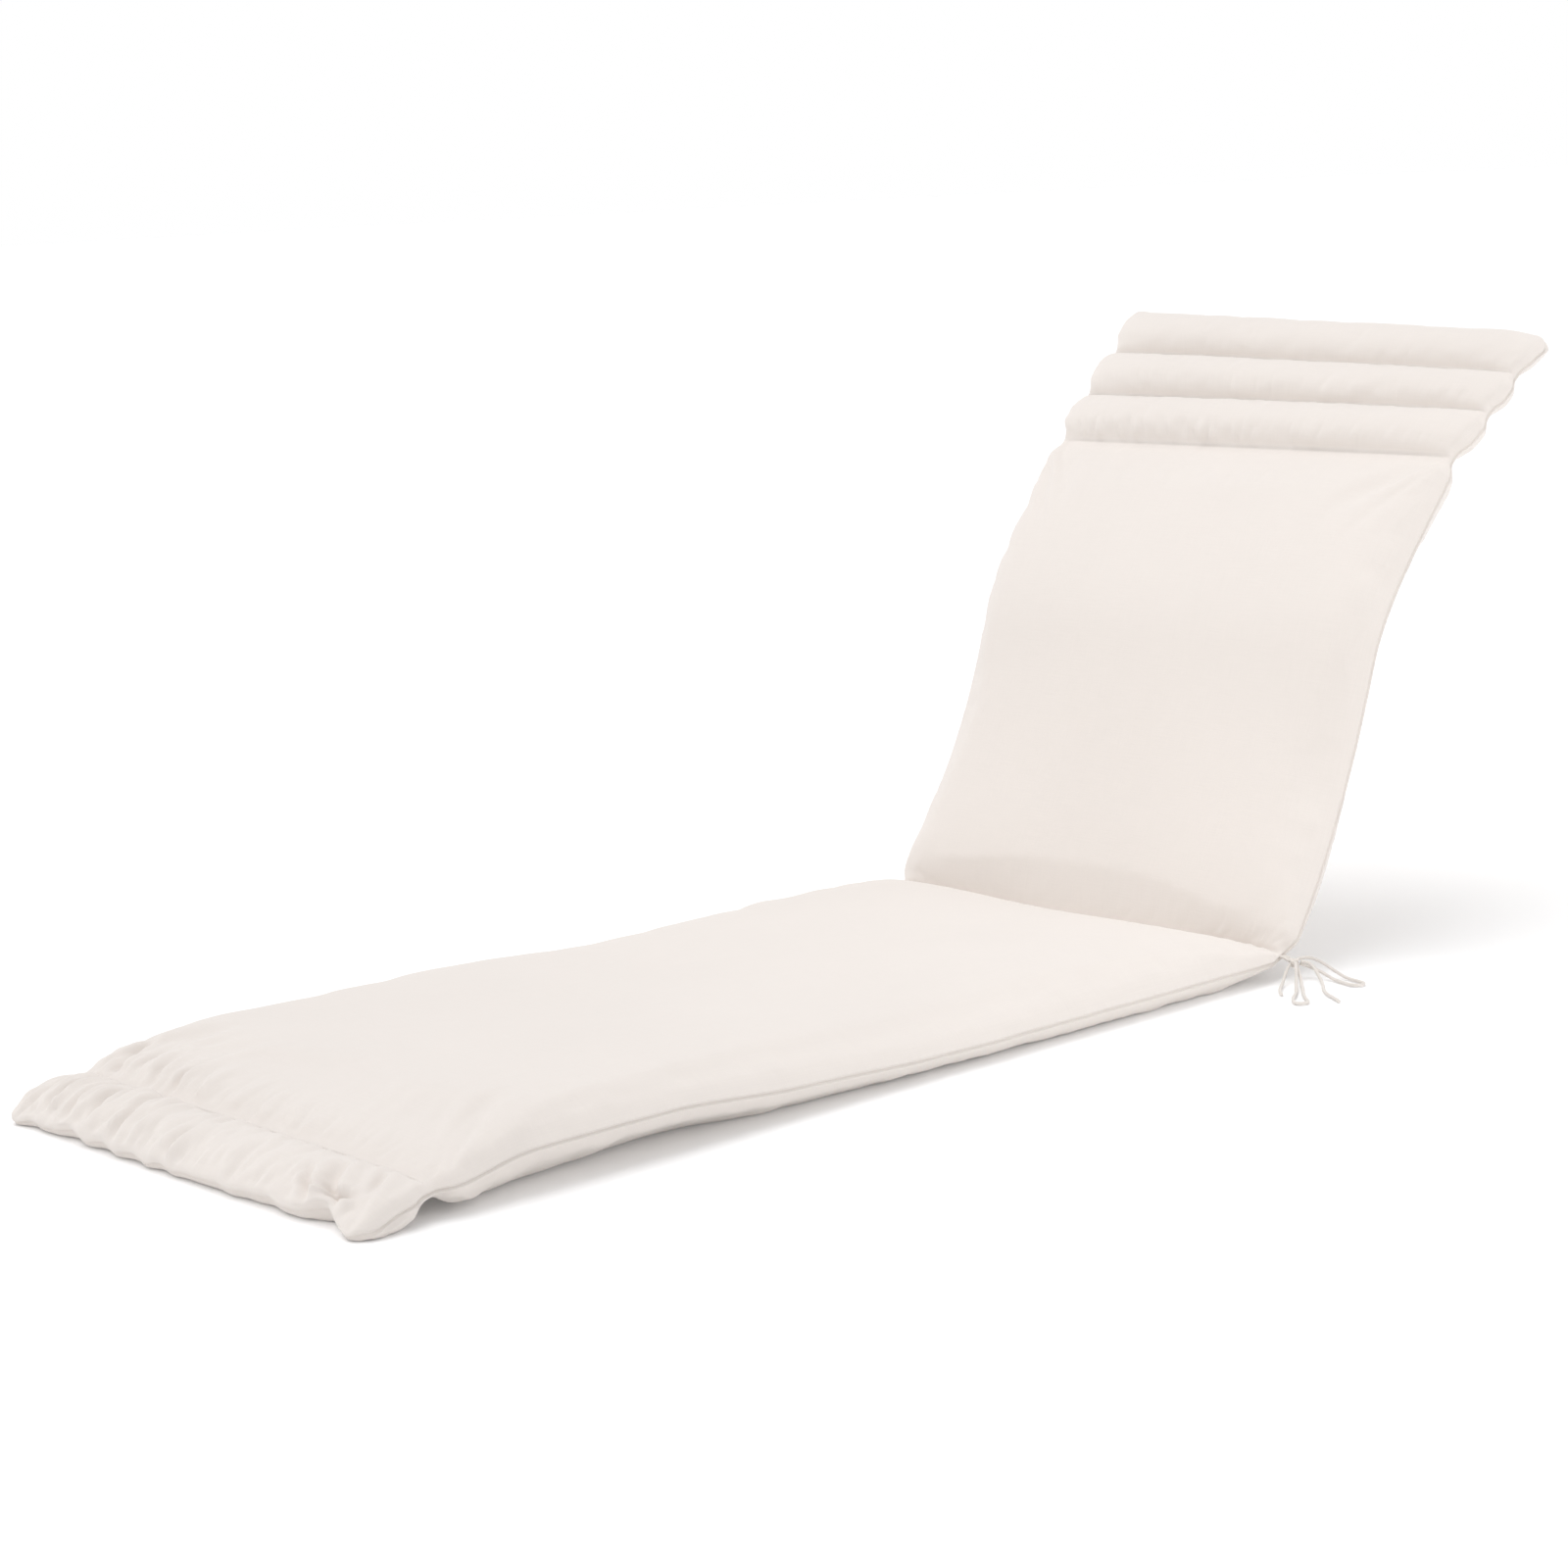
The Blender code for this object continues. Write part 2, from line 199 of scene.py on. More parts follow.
def edge_lift(along, across):
    rise = smooth_step(along, LIFT_START, LIFT_FULL) * (1 - smooth_step(along, LIFT_EASE, LIFT_END))
    most = LIFT_NEAR if across < 0 else LIFT_FAR
    return most * rise * abs(across / HALF_WIDTH) ** 3


def corner_share(along, across):
    """1 at a corner of the flat pad, falling to 0 within the ear's reach."""
    from_end = min(along, LENGTH - along)
    from_side = HALF_WIDTH - abs(across)
    return max(0.0, 1 - from_end / EAR_REACH) ** 2 * max(0.0, 1 - from_side / EAR_REACH) ** 2


def half_width_at(along, across):
    number, past_start = panel_at(along)
    panel = PANELS[number]
    pinched = PINCH * (1 - smooth_step(to_nearest_seam(along), PINCH_FLAT, PINCH_REACH))
    drawn_in = panel.drawn_in * math.sin(math.pi * past_start / panel.length)
    flare = (FLARE_NEAR if across < 0 else FLARE_FAR) * smooth_step(along, FLARE_START, FLARE_END)
    return HALF_WIDTH - pinched - drawn_in + flare


def place_point(along, across, skin, proud=0.0):
    """Where a point of the flat pad ends up on the filled and bent one, raised by proud."""
    x, z, slope = middle_at(along)
    corner, side = corner_share(along, across), across / HALF_WIDTH
    ear = corner * (EAR_HEAD if along > CREASE else EAR_FOOT)
    near_side = (1 - side) / 2
    towards_top = smooth_step(along, HEAD_SEAM, LENGTH)
    off = skin * thickness(along, across, skin > 0) + edge_lift(along, across) + math.copysign(proud, skin)
    outwards = -ear
    if along > CREASE:
        off -= near_side * (HANG_BACK * towards_top + EAR_HANG * corner)
        outwards = ear + TOP_SKEW * side * towards_top
    x += outwards * math.cos(slope) - off * math.sin(slope)
    z += outwards * math.sin(slope) + off * math.cos(slope)
    y = side * (half_width_at(along, across) + ear)
    return Vector((x, y, max(z, 0.0))) + CREASE_PLACE


# Node trees

def new_material(name, roughness, sheen):
    """A matt textile shader whose constant values sit on its own sockets."""
    material = bpy.data.materials.new(name)
    material.use_nodes = True
    shader = material.node_tree.nodes["Principled BSDF"]
    shader.inputs["Roughness"].default_value = roughness
    shader.inputs["Metallic"].default_value = 0.0
    shader.inputs["Specular IOR Level"].default_value = 0.25
    shader.inputs["Sheen Weight"].default_value = sheen
    shader.inputs["Sheen Roughness"].default_value = 0.55
    shader.inputs["Sheen Tint"].default_value = (1.0, 0.99, 0.98, 1.0)
    return material, material.node_tree, shader


def maths(tree, operation, *values, clamp=False):
    """A Math node fed with sockets or numbers, and its result."""
    node = tree.nodes.new("ShaderNodeMath")
    node.operation = operation
    node.use_clamp = clamp
    for socket, value in zip(node.inputs, values):
        if isinstance(value, (int, float)):
            socket.default_value = value
        else:
            tree.links.new(value, socket)
    return node.outputs[0]


def noise_on(tree, source, scale, detail, stretch=(1, 1, 1), rough=0.5):
    """Noise over a coordinate, stretched by a Mapping node."""
    mapping = tree.nodes.new("ShaderNodeMapping")
    mapping.inputs["Scale"].default_value = stretch
    tree.links.new(source, mapping.inputs["Vector"])
    texture = tree.nodes.new("ShaderNodeTexNoise")
    texture.inputs["Scale"].default_value = scale
    texture.inputs["Detail"].default_value = detail
    texture.inputs["Roughness"].default_value = rough
    tree.links.new(mapping.outputs["Vector"], texture.inputs["Vector"])
    return texture.outputs["Fac"]


def uv_source(tree, name):
    node = tree.nodes.new("ShaderNodeUVMap")
    node.uv_map = name
    return node.outputs["UV"]


def bump(tree, height, strength, distance, before=None):
    node = tree.nodes.new("ShaderNodeBump")
    node.inputs["Strength"].default_value = strength
    node.inputs["Distance"].default_value = distance
    tree.links.new(height, node.inputs["Height"])
    if before is not None:
        tree.links.new(before, node.inputs["Normal"])
    return node.outputs["Normal"]


def shade(tree, shader, factor, dark, light):
    """The base colour runs from dark to light with the factor."""
    mix = tree.nodes.new("ShaderNodeMix")
    mix.data_type = "RGBA"
    mix.inputs["A"].default_value = (*dark, 1.0)
    mix.inputs["B"].default_value = (*light, 1.0)
    tree.links.new(factor, mix.inputs["Factor"])
    tree.links.new(mix.outputs["Result"], shader.inputs["Base Color"])


def toned(colour, share):
    """A colour made darker or lighter."""
    return tuple(min(1.0, part * share) for part in colour)


def calico(colours, sizes):
    """Plain-woven cotton: round threads over and under each other, thick places in them, a soft bloom."""
    material, tree, shader = new_material("calico", 0.92, 0.30)
    flat = uv_source(tree, "cut")
    parts = tree.nodes.new("ShaderNodeSeparateXYZ")
    tree.links.new(flat, parts.inputs["Vector"])
    turn = math.pi / sizes.thread_pitch
    warp = maths(tree, "SINE", maths(tree, "MULTIPLY", parts.outputs["X"], turn))
    weft = maths(tree, "SINE", maths(tree, "MULTIPLY", parts.outputs["Y"], turn))
    crossing = maths(tree, "MULTIPLY", warp, weft)
    threads = maths(tree, "ADD", maths(tree, "ABSOLUTE", crossing), maths(tree, "MULTIPLY", crossing, 0.35))
    slub_warp = noise_on(tree, flat, 1.0, 2.0, (22, 900, 1))
    slub_weft = noise_on(tree, flat, 1.0, 2.0, (900, 26, 1))
    slubs = maths(tree, "MULTIPLY", maths(tree, "ADD", slub_warp, slub_weft), 0.5)
    patches = noise_on(tree, flat, 5.0, 3.0)
    blend = maths(tree, "ADD", maths(tree, "MULTIPLY", slubs, 0.62), maths(tree, "MULTIPLY", patches, 0.38))
    grain = maths(tree, "ADD", blend, maths(tree, "MULTIPLY", threads, 0.12), clamp=True)
    shade(tree, shader, grain, toned(colours.cover, 0.925), toned(colours.cover, 1.05))
    woven = bump(tree, threads, 0.30, 0.00020)
    slubbed = bump(tree, slubs, 0.25, 0.00060, woven)
    creased = bump(tree, noise_on(tree, flat, 46.0, 4.0, (1.0, 1.6, 1), 0.55), 0.12, 0.0022, slubbed)
    tree.links.new(creased, shader.inputs["Normal"])
    return material


def yarn(name, colour, pitch, ply):
    """Twisted cotton: fine fibres that follow the twist, read from the piece's length and girth."""
    material, tree, shader = new_material(name, 0.88, 0.35)
    parts = tree.nodes.new("ShaderNodeSeparateXYZ")
    flat = uv_source(tree, "laid")
    tree.links.new(flat, parts.inputs["Vector"])
    laid = maths(tree, "ADD", maths(tree, "MULTIPLY", parts.outputs["X"], math.tau / pitch),
                 maths(tree, "MULTIPLY", parts.outputs["Y"], math.tau * ply))
    ridges = maths(tree, "MULTIPLY_ADD", maths(tree, "SINE", laid), 0.5, 0.5)
    fuzz = noise_on(tree, flat, 1.0, 3.0, (900, 6, 1))
    grain = maths(tree, "MULTIPLY_ADD", fuzz, 0.7, maths(tree, "MULTIPLY", ridges, 0.3), clamp=True)
    shade(tree, shader, grain, toned(colour, 0.86), toned(colour, 1.04))
    tree.links.new(bump(tree, grain, 0.35, 0.00025), shader.inputs["Normal"])
    return material


# Mesh helpers

def add_piece(name, mesh_or_curve, material):
    piece = bpy.data.objects.new(name, mesh_or_curve)
    mesh_or_curve.materials.append(material)
    bpy.context.scene.collection.objects.link(piece)
    return piece


def finish_mesh(mesh, name):
    bmesh.ops.recalc_face_normals(mesh, faces=mesh.faces[:])
    data = bpy.data.meshes.new(name)
    mesh.to_mesh(data)
    mesh.free()
    data.shade_smooth()
    return data


def divided(start, spacing, stops=()):
    """Places from start through each stop, as evenly spaced as the spacing asks."""
    limits = sorted({start, *stops, *(part.until for part in spacing)})
    places = []
    for low, high in zip(limits, limits[1:]):
        step = next(part.step for part in spacing if (low + high) / 2 < part.until)
        count = max(1, round((high - low) / step))
        places += [low + (high - low) * number / count for number in range(count)]
    return [*places, limits[-1]]


def flat_pad():
    """The pad before it is filled: a thin closed box, each vertex keeping its flat place in a layer."""
    alongs = divided(0.0, ALONG_SPACING, SEAMS)
    half = divided(0.0, ACROSS_SPACING)
    acrosses = [-place for place in reversed(half[1:])] + half
    mesh = bmesh.new()
    bmesh.ops.create_grid(mesh, x_segments=len(alongs) - 1, y_segments=len(acrosses) - 1, size=1.0)
    for vert in mesh.verts:
        column = round((vert.co.x + 1) / 2 * (len(alongs) - 1))
        row = round((vert.co.y + 1) / 2 * (len(acrosses) - 1))
        vert.co = (alongs[column], acrosses[row], -1.0)
    raised = bmesh.ops.extrude_face_region(mesh, geom=mesh.faces[:])["geom"]
    uppers = [part for part in raised if isinstance(part, bmesh.types.BMVert)]
    bmesh.ops.translate(mesh, vec=(0, 0, 2), verts=uppers)
    rising = [edge for edge in mesh.edges if abs(edge.verts[0].co.z - edge.verts[1].co.z) > 1]
    bmesh.ops.subdivide_edges(mesh, edges=rising, cuts=3)
    bmesh.ops.recalc_face_normals(mesh, faces=mesh.faces[:])
    keep_flat_place(mesh)
    crease_sewn_lines(mesh)
    return mesh


def crease_sewn_lines(mesh):
    """Keeps the sewn lines as deep as they are sewn when the cloth between them is made finer."""
    crease = mesh.edges.layers.float.new("crease_edge")
    for edge in mesh.edges:
        sewn = [min(abs(end.co.x - seam) for seam in SEAMS[1:-1]) < 1e-5 for end in edge.verts]
        if all(sewn) and all(abs(end.co.z) > 0.99 for end in edge.verts):
            edge[crease] = 1.0


def keep_flat_place(mesh):
    """Stores each vertex's flat place, and the cloth's cut as a UV map in metres that wraps the edge."""
    place = mesh.verts.layers.float_vector.new("flat")
    cut = mesh.loops.layers.uv.new("cut")
    for vert in mesh.verts:
        vert[place] = vert.co
    for face in mesh.faces:
        middle = face.calc_center_median()
        for loop in face.loops:
            over = (1 - abs(loop.vert.co.z)) * SEAM_HALF
            past_end = over if middle.x > LENGTH - 1e-5 else -over if middle.x < 1e-5 else 0.0
            past_side = 0.0 if abs(middle.y) < HALF_WIDTH - 1e-5 else math.copysign(over, middle.y)
            loop[cut].uv = (loop.vert.co.x + past_end, loop.vert.co.y + past_side)


def flat_places(data):
    values = [0.0] * (3 * len(data.vertices))
    data.attributes["flat"].data.foreach_get("vector", values)
    return [Vector(values[start:start + 3]) for start in range(0, len(values), 3)]


def weight_points(piece, name, weights):
    group = piece.vertex_groups.new(name=name)
    for index, weight in enumerate(weights):
        if weight > 0.0:
            group.add([index], weight, "REPLACE")
    return group


def held_by_seam(place):
    """1 on the sewn lines and on the edge seam, where the cloth can't move."""
    if abs(place.z) < 0.99:
        return 1.0
    return 1.0 if to_nearest_seam(place.x) < 0.0018 or abs(place.y) > HALF_WIDTH - 0.001 else 0.0


def spare_cloth(place):
    """How much of the spare length of cloth is gathered in here."""
    foot = 1 - smooth_step(abs(place.x - FOOT_SEAM), 0.02, 0.10)
    head = 0.35 * smooth_step(place.x, HEAD_SEAM - 0.03, HEAD_SEAM)
    side = 0.25 * smooth_step(abs(place.y), HALF_WIDTH - 0.05, HALF_WIDTH - 0.01)
    return max(foot, head, side)


def blow_up(piece, places, settings):
    """Swells the pad with the filling's pressure. No point moves past the cap, nor into the floor."""
    weight_points(piece, "sewn", [held_by_seam(place) for place in places])
    weight_points(piece, "spare cloth", [spare_cloth(place) for place in places])
    cloth = piece.modifiers.new("filling", "CLOTH")
    behaviour = cloth.settings
    behaviour.quality = 6
    behaviour.mass = 0.25
    behaviour.tension_stiffness = behaviour.compression_stiffness = 18
    behaviour.shear_stiffness = 6
    behaviour.bending_stiffness = 0.25
    behaviour.use_pressure = True
    behaviour.uniform_pressure_force = settings.pressure
    behaviour.effector_weights.gravity = 0.0
    behaviour.vertex_group_mass = "sewn"
    behaviour.pin_stiffness = 20
    behaviour.vertex_group_shrink = "spare cloth"
    behaviour.shrink_min = -0.004
    behaviour.shrink_max = -settings.spare_cloth
    cloth.collision_settings.use_collision = False
    cloth.collision_settings.use_self_collision = False
    cloth.point_cache.frame_start, cloth.point_cache.frame_end = 1, settings.frames
    scene = bpy.context.scene
    for number in range(1, settings.frames + 1):
        scene.frame_set(number)
    evaluated = piece.evaluated_get(bpy.context.evaluated_depsgraph_get())
    swollen = [vert.co.copy() for vert in evaluated.data.vertices]
    piece.modifiers.remove(cloth)
    piece.vertex_groups.clear()
    scene.frame_set(1)
    for vert, goal in zip(piece.data.vertices, swollen):
        move = goal - vert.co
        if move.length > settings.cap:
            move *= settings.cap / move.length
        vert.co += move
        vert.co.z = max(vert.co.z, 0.0)


def subdivide_once(piece):
    finer = piece.modifiers.new("finer", "SUBSURF")
    finer.levels = finer.render_levels = 1
    finer.boundary_smooth = "PRESERVE_CORNERS"
    evaluated = piece.evaluated_get(bpy.context.evaluated_depsgraph_get())
    data = bpy.data.meshes.new_from_object(evaluated)
    piece.modifiers.clear()
    coarse, piece.data = piece.data, data
    bpy.data.meshes.remove(coarse)
    data.name = piece.name
    data.shade_smooth()


# The folds that sewing leaves in the cloth

def billows(across, along, width, seed, stretch=6.0):
    """Soft ridges with sharp valleys between them, about width apart and stretched lengthwise."""
    value = noise.noise(Vector((across / width, along / (width * stretch), seed)))
    return 2.2 * abs(value) - 0.5


def beside(distance, peak, reach):
    """Rises from 0 on a sewn line to 1 at the peak and fades out at the reach."""
    return smooth_step(distance, 0.0, peak) * (1 - smooth_step(distance, peak, reach))


def foot_gathers(along, across):
    """Folds on both sides of the foot seam and up from the hem, more of them towards the far side."""
    past = along - FOOT_SEAM
    far = smooth_step(across, -0.20, 0.16)
    fanned = across + 0.9 * past * (across - 0.05) + 0.010 * math.sin(31 * along)
    if past < 0:
        from_hem = along
        hem = smooth_step(from_hem, 0.0, 0.009) * (1 - 0.80 * smooth_step(from_hem, 0.016, 0.066))
        seam = smooth_step(-past, 0.0, 0.010) * (1 - 0.75 * smooth_step(-past, 0.012, 0.050))
        rising = (0.0042 + 0.0034 * far) * billows(fanned, along, 0.027, 3.1, 3.2)
        rising += (0.0016 + 0.0016 * far) * billows(fanned, along, 0.012, 5.3, 3.0)
        falling = (0.0018 + 0.0032 * far) * billows(fanned, along, 0.023, 8.7, 2.6)
        return hem * rising + seam * falling
    coarse = (0.0016 + 0.0040 * far) * billows(fanned, along, 0.026, 13.1, 3.0)
    fine = (0.0010 + 0.0012 * far) * billows(fanned + 0.2 * past, along, 0.013, 16.7, 2.4)
    return beside(past, 0.013, 0.050 + 0.030 * far) * (coarse + fine)


def head_gathers(along, across):
    """Short puckers beside the head channels' sewn lines, most in the far half of the lowest channel."""
    total = 0.0
    far = smooth_step(across, -0.17, 0.08)
    for number, seam in enumerate(SEAMS[3:6]):
        past = along - seam
        lean = across + 0.15 * past + 0.004 * math.sin(40 * along)
        depth = (0.0010 + 0.0022 * far, 0.0012, 0.0009)[number] if past > 0 else 0.0005
        wide = billows(lean, past, 0.021, 2.0 + 5 * number, 2.6)
        narrow = billows(lean, past, 0.0125, 4.0 + 5 * number, 3.0)
        total += depth * beside(abs(past), 0.007, 0.034) * (wide + 0.7 * narrow)
    return total


def side_puckers(along, across):
    """The side seams draw the cloth into short folds that run in from the edge."""
    from_side = HALF_WIDTH - abs(across)
    seed = 11.0 if across < 0 else 17.0
    wide = beside(from_side, 0.012, 0.070) * billows(along, from_side, 0.050, seed, 2.5)
    short = beside(from_side, 0.006, 0.026) * billows(along, from_side, 0.019, seed + 3, 2.0)
    return 0.0016 * wide + 0.0007 * short


def crease_puckers(along, across):
    past = along - CREASE
    near_tie = 1 - smooth_step(HALF_WIDTH + across, 0.01, 0.11)
    depth = 0.0006 + (0.0010 if past > 0 else 0.0018) * near_tie
    width = 0.034 - 0.014 * near_tie
    return depth * beside(abs(past), 0.012, 0.060) * billows(across + 0.4 * past, past, width, 23.0, 2.5)


# The larger folds at the foot: start and end are places along and across
Fold = namedtuple("Fold", "start end width depth")
FOLD_DEEPENED = 1.35
FOLDS = (
    Fold((0.052, -0.205), (0.006, -0.246), 0.0080, 0.0070),
    Fold((0.040, -0.180), (0.004, -0.214), 0.0050, 0.0046),
    Fold((0.030, -0.262), (0.010, -0.228), 0.0055, 0.0048),
    Fold((0.026, -0.236), (0.022, -0.190), 0.0045, 0.0030),
    Fold((0.072, -0.252), (0.040, -0.270), 0.0055, 0.0034),
    Fold((0.076, 0.262), (0.020, 0.276), 0.0055, 0.0048),
    Fold((0.074, 0.238), (0.012, 0.244), 0.0050, 0.0050),
    Fold((0.074, 0.206), (0.010, 0.204), 0.0055, 0.0052),
    Fold((0.070, 0.172), (0.014, 0.164), 0.0050, 0.0040),
    Fold((0.068, 0.118), (0.010, 0.110), 0.0050, 0.0036),
    Fold((0.086, 0.246), (0.150, 0.272), 0.0070, 0.0045),
    Fold((0.086, 0.214), (0.140, 0.226), 0.0060, 0.0042),
    Fold((0.086, 0.176), (0.136, 0.196), 0.0060, 0.0040),
    Fold((0.086, 0.136), (0.122, 0.150), 0.0060, 0.0034),
)


def drawn_folds(along, across):
    """The larger folds of the foot channel: a valley along each line with a soft lip on both sides."""
    total = 0.0
    for fold in FOLDS:
        start, end = Vector(fold.start), Vector(fold.end)
        run = end - start
        share = max(0.0, min(1.0, (Vector((along, across)) - start).dot(run) / run.length_squared))
        gap = (Vector((along, across)) - start - run * share).length / fold.width
        if gap < 4:
            faded = math.sin(math.pi * (0.12 + 0.76 * share)) if gap < 3 else 0.3
            lip, valley = 0.45 * math.exp(-((gap - 1.7) ** 2)), math.exp(-gap * gap)
            total += FOLD_DEEPENED * fold.depth * faded * (lip - valley)
    return total


def relief(place):
    """How far a point of the filled pad stands out from, or lies under, the smooth skin."""
    along, across = place.x, place.y
    if abs(place.z) < 0.999:
        return 0.0011 * (1 - abs(2 * abs(place.z) - 1)) - 0.0016 * max(0.0, 1 - 2.6 * abs(place.z))
    total = side_puckers(along, across) * smooth_step(min(along, LENGTH - along), 0.0, 0.03)
    total *= smooth_step(min(abs(along - seam) for seam in SEAMS[1:-1]), 0.0, 0.012)
    if place.z > 0:
        edge = smooth_step(HALF_WIDTH - abs(across), 0.0, 0.012)
        total += edge * (foot_gathers(along, across) + drawn_folds(along, across))
        total += edge * (head_gathers(along, across) + crease_puckers(along, across))
    else:
        total += 0.7 * (foot_gathers(along, -across) + head_gathers(along, -across))
    return total


def press_in_folds(piece):
    places = flat_places(piece.data)
    normals = [vert.normal.copy() for vert in piece.data.vertices]
    for vert, normal, place in zip(piece.data.vertices, normals, places):
        vert.co += normal * relief(place)
        vert.co.z = max(vert.co.z, 0.0)
    piece.data.update()


# Cord

def smooth_route(points, step):
    """Points on one smooth curve through the route's own points."""
    ends = [2 * points[0] - points[1], *points, 2 * points[-1] - points[-2]]
    fine = []
    for before, start, end, after in zip(ends, ends[1:], ends[2:], ends[3:]):
        pieces = max(2, math.ceil((end - start).length / step))
        for count in range(pieces):
            t = count / pieces
            fine.append(0.5 * (2 * start + (end - before) * t
                               + (2 * before - 5 * start + 4 * end - after) * t ** 2
                               + (3 * start - before - 3 * end + after) * t ** 3))
    return [*fine, points[-1]]


def eased(points, passes):
    """The route with its corners rounded: each point is averaged with its neighbours, and the ends stay."""
    for _ in range(passes):
        threes = zip(points, points[1:], points[2:])
        inner = [(before + 2 * point + after) / 4 for before, point, after in threes]
        points = [points[0], *inner, points[-1]]
    return points


def drooping(points):
    """A limp cord comes down to the floor more softly than it turns along it."""
    heights = [max(point.z, CORD_RADIUS * PLY_CREST) for point in eased(points, DROOP_PASSES)]
    turned = eased(points, TURN_PASSES)
    return [Vector((point.x, point.y, height)) for point, height in zip(turned, heights)]


def route_length(points):
    return sum((after - before).length for before, after in zip(points, points[1:]))


def place_ring(verts, girth, centre, frame_axes, radius, turned):
    """Sets a ring of vertices round the cord's line, three plies to the ring."""
    sideways, upwards = frame_axes
    for vert in verts:
        angle = math.tau * vert[girth] / CORD_SIDES
        lobed = radius * (PLY_VALLEY + (PLY_CREST - PLY_VALLEY) * abs(math.cos(1.5 * angle)))
        vert.co = centre + (sideways * math.cos(angle + turned) + upwards * math.sin(angle + turned)) * lobed


def lay_cord(mesh, points, radius, pitch, rounded_end=False):
    """Extrudes a ring of three twisted plies along the points, and closes both ends."""
    girth = mesh.verts.layers.int.get("girth") or mesh.verts.layers.int.new("girth")
    run = mesh.verts.layers.float.get("run") or mesh.verts.layers.float.new("run")
    made = bmesh.ops.create_circle(mesh, cap_ends=False, segments=CORD_SIDES, radius=radius)["verts"]
    for number, vert in enumerate(made):
        vert[girth] = number
    ring = list({edge for vert in made for edge in vert.link_edges})
    rings, verts, travelled = [ring], made, 0.0
    heading = (points[1] - points[0]).normalized()
    sideways = heading.orthogonal().normalized()
    total = route_length(points)
    for number, point in enumerate(points):
        after = points[min(number + 1, len(points) - 1)]
        before = points[max(number - 1, 0)]
        heading = (after - before).normalized()
        sideways = (sideways - heading * sideways.dot(heading)).normalized()
        if number:
            travelled += (point - points[number - 1]).length
            made = bmesh.ops.extrude_edge_only(mesh, edges=rings[-1])["geom"]
            verts = [part for part in made if isinstance(part, bmesh.types.BMVert)]
            rings.append([part for part in made if isinstance(part, bmesh.types.BMEdge)
                          and all(end in set(verts) for end in part.verts)])
        left = total - travelled
        size = radius
        if rounded_end and left < radius:
            size *= math.sqrt(max(0.06, 1 - (1 - left / radius) ** 2))
        axes = (sideways, heading.cross(sideways))
        place_ring(verts, girth, point, axes, size, math.tau * travelled / pitch)
        for vert in verts:
            vert[run] = travelled
    for ring in (rings[0], rings[-1]):
        bmesh.ops.edgeloop_fill(mesh, edges=ring)


def unroll_cord(mesh):
    """A UV map in metres along the cord and once round it."""
    girth, run = mesh.verts.layers.int["girth"], mesh.verts.layers.float["run"]
    laid = mesh.loops.layers.uv.new("laid")
    for face in mesh.faces:
        rounds = [loop.vert[girth] / CORD_SIDES for loop in face.loops]
        wraps = max(rounds) - min(rounds) > 0.5
        for loop, share in zip(face.loops, rounds):
            loop[laid].uv = (loop.vert[run], share + 1 if wraps and share < 0.5 else share)


def cord_piece(name, routes, material, diameter, rounded_end=False):
    mesh = bmesh.new()
    for route in routes:
        lay_cord(mesh, route, diameter / 2, 3.1 * diameter, rounded_end)
    unroll_cord(mesh)
    return add_piece(name, finish_mesh(mesh, name), material)


def knot_place():
    """The point of the side seam that the tie leaves, and the middle of its knot."""
    seam = Vector((0.0, -half_width_at(CREASE, -HALF_WIDTH) - GAP, SEAM_HEIGHT)) + CREASE_PLACE
    return seam, seam + Vector((0.0, -KNOT_OUT, -KNOT_DROP))


def knot_routes():
    """The wound cord of the knot, and the two roots that come to it from the side seam."""
    seam, knot = knot_place()
    wound = []
    for number in range(133):
        turn = math.tau * number / 128
        wound.append(knot + Vector((0.00155 * (math.sin(turn) + 2 * math.sin(2 * turn)),
                                    0.0024 * math.sin(3 * turn),
                                    0.00140 * (math.cos(turn) - 2 * math.cos(2 * turn)))))
    roots = []
    for side in (-1, 1):
        apart = side * (CORD_RADIUS + GAP / 2)
        root = [seam + Vector((apart, 0.0012, 0)), seam + Vector((apart, -0.005, -0.0005)),
                knot + Vector((apart, KNOT_RADII[1] - 0.001, 0.0008))]
        roots.append(smooth_route(root, ROUTE_STEP))
    return [wound, *roots]


